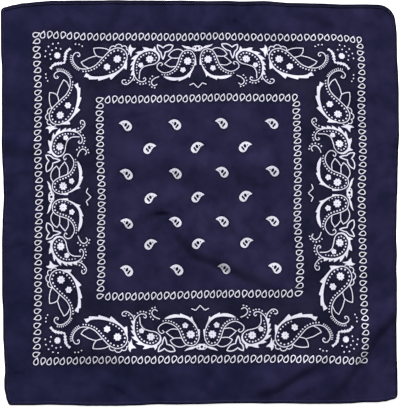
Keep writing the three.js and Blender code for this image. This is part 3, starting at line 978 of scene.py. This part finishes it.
def cloth_material(name, dark, light, speck, roughness, specular, sheen, bump, deeper=()):
    """Woven cotton: two tones in soft clouds, thread-scale specks, and a weave.

    deeper holds what is left of the tone at each value of the attribute of dyed depth and painted
    light, if that differs.
    """
    material, tree, principled = shader(name, roughness, specular, sheen, SHEEN_TINT)
    place, threads = weave(tree)
    clouds = node(tree, "ShaderNodeTexNoise", Scale=26.0, Detail=5.0, Roughness=0.6)
    tree.links.new(place.outputs["Object"], clouds.inputs["Vector"])
    tone = mixed(tree, ranged(tree, clouds.outputs["Fac"], *CLOUD_RANGE), dark, light)

    specks = node(tree, "ShaderNodeTexNoise", Scale=620.0, Detail=2.0)
    tree.links.new(place.outputs["Object"], specks.inputs["Vector"])
    fine = ranged(tree, specks.outputs["Fac"], *SPECK_RANGE)
    if deeper:
        depth = node(tree, "ShaderNodeAttribute", attribute_name=DYE_AND_PAINTED_LIGHT)
        left = node(tree, "ShaderNodeValToRGB")
        for at, share in deeper:
            left.color_ramp.elements.new(at).color = (*share, 1)
        left.color_ramp.elements.remove(left.color_ramp.elements[0])
        left.color_ramp.elements.remove(left.color_ramp.elements[-1])
        tree.links.new(depth.outputs["Fac"], left.inputs["Fac"])
        dye_and_light = node(tree, "ShaderNodeMix", data_type="RGBA", blend_type="MULTIPLY")
        dye_and_light.inputs["Factor"].default_value = 1.0
        tree.links.new(tone, dye_and_light.inputs[6])
        tree.links.new(left.outputs["Color"], dye_and_light.inputs[7])
        tone = dye_and_light.outputs[2]
    final = node(tree, "ShaderNodeMix", data_type="RGBA")
    tree.links.new(fine, final.inputs["Factor"])
    tree.links.new(tone, final.inputs[6])
    final.inputs[7].default_value = (*speck, 1)
    tree.links.new(final.outputs[2], principled.inputs["Base Color"])

    raised = node(tree, "ShaderNodeBump", Strength=bump, Distance=WEAVE_DEPTH)
    tree.links.new(threads.outputs[0], raised.inputs["Height"])
    tree.links.new(raised.outputs["Normal"], principled.inputs["Normal"])
    return material


# The two tones of the dyed cloth's clouds
NAVY_DARK = (0.0108, 0.0102, 0.0322)
NAVY_LIGHT = (0.0202, 0.0170, 0.0505)

# What is left of the tone at each value of the attribute of dyed depth and painted light: the
# field's lighter middle is painted sheen
DYE_AND_PAINTED_LIGHT_STEPS = [
    (0.0, (1, 1, 1)), (0.36, (0.73, 0.83, 0.88)), (0.46, (0.78, 0.84, 0.72)),
    (0.75, (0.42, 0.44, 0.42)), (1.0, (0.13, 0.14, 0.16)),
]
dyed = cloth_material(
    "dyed_cotton", NAVY_DARK, NAVY_LIGHT, (0.018, 0.018, 0.056),
    roughness=0.95, specular=0.03, sheen=0.01, bump=0.35, deeper=DYE_AND_PAINTED_LIGHT_STEPS,
)
faint_ink = cloth_material(
    "faint_white_ink", (0.53, 0.53, 0.61), (0.61, 0.61, 0.70), (0.42, 0.42, 0.5),
    roughness=0.7, specular=0.15, sheen=0.0, bump=0.25,
)
inked = cloth_material(
    "white_ink", (0.62, 0.61, 0.71), (0.71, 0.70, 0.80), (0.48, 0.48, 0.56),
    roughness=0.7, specular=0.15, sheen=0.0, bump=0.25,
)
deep = cloth_material(
    "deep_dye", (0.002, 0.002, 0.008), (0.004, 0.004, 0.013), (0.008, 0.008, 0.02),
    roughness=0.8, specular=0.04, sheen=0.0, bump=0.3,
)
back_dyed = cloth_material(
    "back_cotton", (0.014, 0.0135, 0.041), (0.018, 0.017, 0.05), (0.026, 0.026, 0.062),
    roughness=0.85, specular=0.15, sheen=0.05, bump=0.4,
)
back_inked = cloth_material(
    "ink_showing_through", (0.16, 0.16, 0.24), (0.2, 0.2, 0.28), (0.1, 0.1, 0.17),
    roughness=0.85, specular=0.15, sheen=0.0, bump=0.4,
)
hem_cloth = cloth_material(
    "hem_cotton", (0.0072, 0.0074, 0.026), (0.0115, 0.0108, 0.035), (0.014, 0.014, 0.042),
    roughness=0.95, specular=0.03, sheen=0.01, bump=0.45,
)
# Painted shade: the hem's rolled rim is coloured darker
hem_rim_shade = cloth_material(
    "hem_rim_painted_shade", (0.0016, 0.0014, 0.007), (0.0026, 0.0024, 0.011), (0.006, 0.006, 0.02),
    roughness=0.85, specular=0.03, sheen=0.0, bump=0.45,
)
# Painted highlight: the hem's crest is coloured lighter
hem_crest_highlight = cloth_material(
    "hem_crest_painted_highlight", (0.012, 0.012, 0.036), (0.017, 0.016, 0.047), (0.02, 0.02, 0.055),
    roughness=0.95, specular=0.05, sheen=0.01, bump=0.45,
)
sewing = cloth_material(
    "sewing_thread", (0.02, 0.019, 0.05), (0.028, 0.027, 0.066), (0.04, 0.04, 0.09),
    roughness=0.6, specular=0.3, sheen=0.1, bump=0.2,
)


# The panel

# How much darker the cloth is outside the field, whose lighter tone is painted sheen, and in the
# border, and how much painted light lightens the right side
FIELD_PAINTED_SHEEN = 0.36
BORDER_DYE = 0.1
RIGHT_PAINTED_LIGHT = 0.26

# How softly the dyed depth and painted sheen change at the edges of the border and field, and the
# field's middle
BORDER_SOFT = 6.0
FIELD_SOFT = 14.0
FIELD_MIDDLE = 8.7

# Slots of the plain and the inked cloth on the underside
BACK_DYED, BACK_INKED = 4, 5


def field_distance(x, y):
    """How far a place lies outside the field of small paisleys"""
    return np.maximum(np.abs(x), np.abs(y - FIELD_MIDDLE)) - INNER


def make_panel():
    """The printed cloth as a thin closed shell, tucked under its hems"""
    outline = outline_at(PANEL_INSET)
    flat, faces, inks, near = cloth_plan(outline)
    x, y = flat.T
    low = cloth_height(x, y)
    count = len(flat)
    top = np.column_stack([x, y, low + CLOTH_THICKNESS])
    under = np.column_stack([x, y, low])

    a, b, c = (flat[faces[:, corner]] for corner in range(3))
    area = (b[:, 0] - a[:, 0]) * (c[:, 1] - a[:, 1]) - (b[:, 1] - a[:, 1]) * (c[:, 0] - a[:, 0])
    faces[area < 0] = faces[area < 0][:, ::-1]
    sides = np.vstack([faces[:, [0, 1]], faces[:, [1, 2]], faces[:, [2, 0]]])
    key = np.sort(sides, axis=1)
    _, first, times = np.unique(key, axis=0, return_index=True, return_counts=True)
    rim = sides[first[times == 1]]
    walls = np.column_stack([rim[:, 0], rim[:, 0] + count, rim[:, 1] + count, rim[:, 1]])

    all_faces = faces.tolist() + (faces[:, ::-1] + count).tolist() + walls.tolist()
    panel = new_mesh("printed_cloth", np.vstack([top, under]), all_faces)
    for material in (dyed, inked, deep, faint_ink, back_dyed, back_inked):
        panel.data.materials.append(material)
    beneath = np.where((inks == INK) | (inks == FAINT), BACK_INKED, BACK_DYED)
    slots = np.concatenate([inks, beneath, np.zeros(len(walls), int)])
    panel.data.polygons.foreach_set("material_index", slots.astype(np.int32))
    panel.data.polygons.foreach_set("use_smooth", np.ones(len(slots), bool))
    # Painted sheen: the field is left lighter than its margins. Beside the ink and in the border
    # the cloth is darker.
    out = field_distance(x, y)
    depth = FIELD_PAINTED_SHEEN * smoothstep(out, -FIELD_SOFT, FIELD_SOFT)
    outward = smoothstep(out, -BORDER_SOFT, BORDER_SOFT)
    inward = smoothstep(OUTER - INNER - out, -BORDER_SOFT, BORDER_SOFT)
    # Painted light from the right: the right side of the cloth is coloured lighter
    painted_light_right = RIGHT_PAINTED_LIGHT * smoothstep(x, 0.0, OUTER) * (1 - inward)
    depth = np.maximum(near, depth + BORDER_DYE * outward * inward - painted_light_right)
    dye_and_light = panel.data.attributes.new(DYE_AND_PAINTED_LIGHT, "FLOAT", "POINT")
    dye_and_light.data.foreach_set("value", np.concatenate([depth, depth]).astype(np.float32))
    normals = np.vstack([surface_normals(x, y, 1), surface_normals(x, y, -1)])
    panel.data.normals_split_custom_set_from_vertices(normals.tolist())
    return panel


panel = make_panel()
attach(panel, "root")
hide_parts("panel")

# Hems

# The hem's section from its outer foot over the top and under its inner side.
# across: 0 at the cloth's edge, 1 at the seam line. rise: share of the hem's thickness.
HEM_SECTION = [
    (0.10, 0.0), (0.02, 0.16), (0.0, 0.42), (0.05, 0.74), (0.16, 0.92), (0.30, 1.0),
    (0.40, 0.94), (0.50, 0.97), (0.70, 0.90), (0.83, 0.72), (0.91, 0.80), (0.99, 0.66),
    (1.0, 0.5), (0.62, 0.42), (0.56, 0.0),
]

# The sides of the section painted darker at the fold of the edge, as painted shade, and the one
# painted lighter on its crest, as painted highlight
HEM_SHADED_RIM = range(0, 6)
HEM_HIGHLIT_CREST = range(6, 7)
HEM_STATIONS = 430

# How far along its own unevenness each hem begins after the one before
HEM_START = 211.0
STITCH_PITCH = 2.6
STITCH_ACROSS = 0.84


def run_of(path):
    return np.concatenate([[0.0], np.cumsum(np.hypot(*np.diff(path, axis=0).T))])


def along_path(path, shares):
    run = run_of(path)
    at = shares * run[-1]
    return np.column_stack([np.interp(at, run, path[:, axis]) for axis in (0, 1)])


def hem_fullness(along, across):
    """How thick the turned cloth is: pinched by the stitches, and never quite even"""
    slow = 0.06 * np.sin(along / 19.0) + 0.05 * np.sin(along / 7.3 + 2.0)
    pinch = 0.05 * np.cos(along * 2 * math.pi / STITCH_PITCH)
    return 0.93 + slow + pinch * smoothstep(across, 0.4, 0.9)


def make_hem(edge, index):
    shares = np.linspace(0.0, 1.0, HEM_STATIONS + 1)
    vertices = []
    for across, rise in HEM_SECTION:
        path = edge_path(edge, across * HEM_WIDTH)
        length = run_of(path)[-1]
        mitre = MITRE_GAP / 2 / length
        spots = along_path(path, np.clip(shares, mitre, 1 - mitre))
        at = shares * length + HEM_START * index
        low = cloth_height(*spots.T)
        lift = rise * HEM_THICKNESS * hem_fullness(at, across)
        vertices.append(np.column_stack([spots, low + lift]))
    vertices = np.stack(vertices, axis=1)
    ring_size = len(HEM_SECTION)
    faces, slots = [], []
    for station in range(HEM_STATIONS):
        for place in range(ring_size):
            a = station * ring_size + place
            b = station * ring_size + (place + 1) % ring_size
            faces.append((a, a + ring_size, b + ring_size, b))
            # Painted shade on the rolled rim, painted highlight on the crest
            slots.append(1 if place in HEM_SHADED_RIM else 2 if place in HEM_HIGHLIT_CREST else 0)
    slots += [0, 0]
    faces.append(tuple(range(ring_size)))
    last = HEM_STATIONS * ring_size
    faces.append(tuple(last + place for place in reversed(range(ring_size))))
    hem = new_mesh(f"hem_{edge}_turned", vertices.reshape(-1, 3), faces)
    for material in (hem_cloth, hem_rim_shade, hem_crest_highlight):
        hem.data.materials.append(material)
    hem.data.polygons.foreach_set("material_index", np.array(slots, np.int32))
    hem.data.polygons.foreach_set("use_smooth", np.ones(len(faces), bool))
    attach(hem, "root")
    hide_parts(f"hem_{edge}")
    return hem


hems = [make_hem(edge, index) for index, edge in enumerate(EDGES)]

# Stitches

STITCH_LENGTH = 2.05
STITCH_RADIUS = 0.24

# Height of a stitch: share of the hem's thickness, lift above it, and how far its ends sink
STITCH_LEVEL = 0.76
STITCH_LIFT = 0.06
STITCH_SINK = 0.35

# How far the row sways, over what length, and how far single stitches stray
STITCH_SWAY = 0.12
SWAY_LENGTH = 23.0
STITCH_STRAY = 0.05
AHEAD = 1e-3
SEED = 7

# Cross-sections of a stitch: share of its length from the middle, and share of its radius
STITCH_SECTIONS = [(-0.5, 0.25), (-0.36, 0.85), (0.0, 1.0), (0.36, 0.85), (0.5, 0.25)]
STITCH_SIDES = 6


def make_stitches():
    """The lock stitch along the four hems, each stitch a short sunk thread"""
    rng = np.random.default_rng(SEED)
    vertices, faces = [], []
    for index, edge in enumerate(EDGES):
        path = edge_path(edge, STITCH_ACROSS * HEM_WIDTH)
        run = run_of(path)
        count = int(run[-1] / STITCH_PITCH)
        for stitch in range(count):
            middle = (stitch + 0.5) * run[-1] / count
            drift = STITCH_SWAY * math.sin(middle / SWAY_LENGTH + index)
            drift += rng.normal(0, STITCH_STRAY)
            tilt = rng.normal(0, STITCH_STRAY)
            base = len(vertices)
            for share, swell in STITCH_SECTIONS:
                at = (middle + share * STITCH_LENGTH) / run[-1]
                here, ahead = along_path(path, np.clip(np.array([at, at + AHEAD]), 0, 1))
                forward = (ahead - here) / max(np.hypot(*(ahead - here)), TINY)
                left = np.array([-forward[1], forward[0]])
                centre = here + left * (drift + tilt * share * STITCH_LENGTH)
                low = float(cloth_height(centre[:1], centre[1:])[0])
                level = low + STITCH_LEVEL * HEM_THICKNESS + STITCH_LIFT - STITCH_SINK * abs(share)
                for side in range(STITCH_SIDES):
                    angle = 2 * math.pi * side / STITCH_SIDES
                    out = STITCH_RADIUS * swell
                    spot = centre + left * out * math.cos(angle)
                    vertices.append((spot[0], spot[1], level + out * math.sin(angle)))
            for section in range(len(STITCH_SECTIONS) - 1):
                for side in range(STITCH_SIDES):
                    a = base + section * STITCH_SIDES + side
                    b = base + section * STITCH_SIDES + (side + 1) % STITCH_SIDES
                    faces.append((a, a + STITCH_SIDES, b + STITCH_SIDES, b))
            faces.append(tuple(base + side for side in range(STITCH_SIDES)))
            last = base + (len(STITCH_SECTIONS) - 1) * STITCH_SIDES
            faces.append(tuple(last + side for side in reversed(range(STITCH_SIDES))))
    stitches = new_mesh("hem_stitches", vertices, faces)
    stitches.data.materials.append(sewing)
    stitches.data.polygons.foreach_set("use_smooth", np.ones(len(faces), bool))
    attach(stitches, "root")
    return stitches


stitches = make_stitches()

# Floor, light and camera

FLOOR_GLOW = 0.7
FLOOR_SIZE = 40.0
FLOOR_LEVEL = -0.0002
FLOOR_TONE = (0.93, 0.93, 0.93, 1)
WHITE = (1, 1, 1, 1)
bpy.ops.mesh.primitive_plane_add(size=FLOOR_SIZE, location=(0, 0, FLOOR_LEVEL))
floor = bpy.context.object
floor.name = "floor"
floor_paint, floor_tree, floor_shader = shader("pale_floor", roughness=0.9, specular=0.1)
floor_shader.inputs["Base Color"].default_value = FLOOR_TONE
floor_shader.inputs["Emission Color"].default_value = WHITE
floor_shader.inputs["Emission Strength"].default_value = FLOOR_GLOW
floor.data.materials.append(floor_paint)

SKY_STRENGTH = 0.34
world = bpy.data.worlds.new("studio")
bpy.context.scene.world = world
world.use_nodes = True
world.node_tree.nodes["Background"].inputs["Color"].default_value = WHITE
world.node_tree.nodes["Background"].inputs["Strength"].default_value = SKY_STRENGTH


def soft_light(name, place, aim, size, power):
    """A large square lamp that points at a place"""
    data = bpy.data.lights.new(name, "AREA")
    data.shape = "SQUARE"
    data.size = size
    data.energy = power
    lamp = bpy.data.objects.new(name, data)
    bpy.context.scene.collection.objects.link(lamp)
    lamp.location = place
    direction = np.asarray(aim, float) - np.asarray(place, float)
    lamp.rotation_mode = "QUATERNION"
    lamp.rotation_quaternion = Vector(direction).to_track_quat("-Z", "Y")


soft_light("window_light", place=(-0.2, 5.4, 2.55), aim=(0, 0, 0), size=1.5, power=800)

# The camera: its lens and sensor, what a pixel spans on the cloth, and where the view is centred
LENS = 100.0
SENSOR = 36.0
PIXEL = 1.3564
IMAGE_WIDTH = 400
VIEW_CENTRE = (0.3, -0.5)
camera_data = bpy.data.cameras.new("camera")
camera_data.lens = LENS
camera_data.sensor_width = SENSOR
camera_data.sensor_fit = "HORIZONTAL"
camera = bpy.data.objects.new("camera", camera_data)
bpy.context.scene.collection.objects.link(camera)
camera.location = (
    VIEW_CENTRE[0] * MM, VIEW_CENTRE[1] * MM, IMAGE_WIDTH * PIXEL * MM * LENS / SENSOR
)
bpy.context.scene.camera = camera
bpy.context.scene.view_settings.view_transform = "Standard"
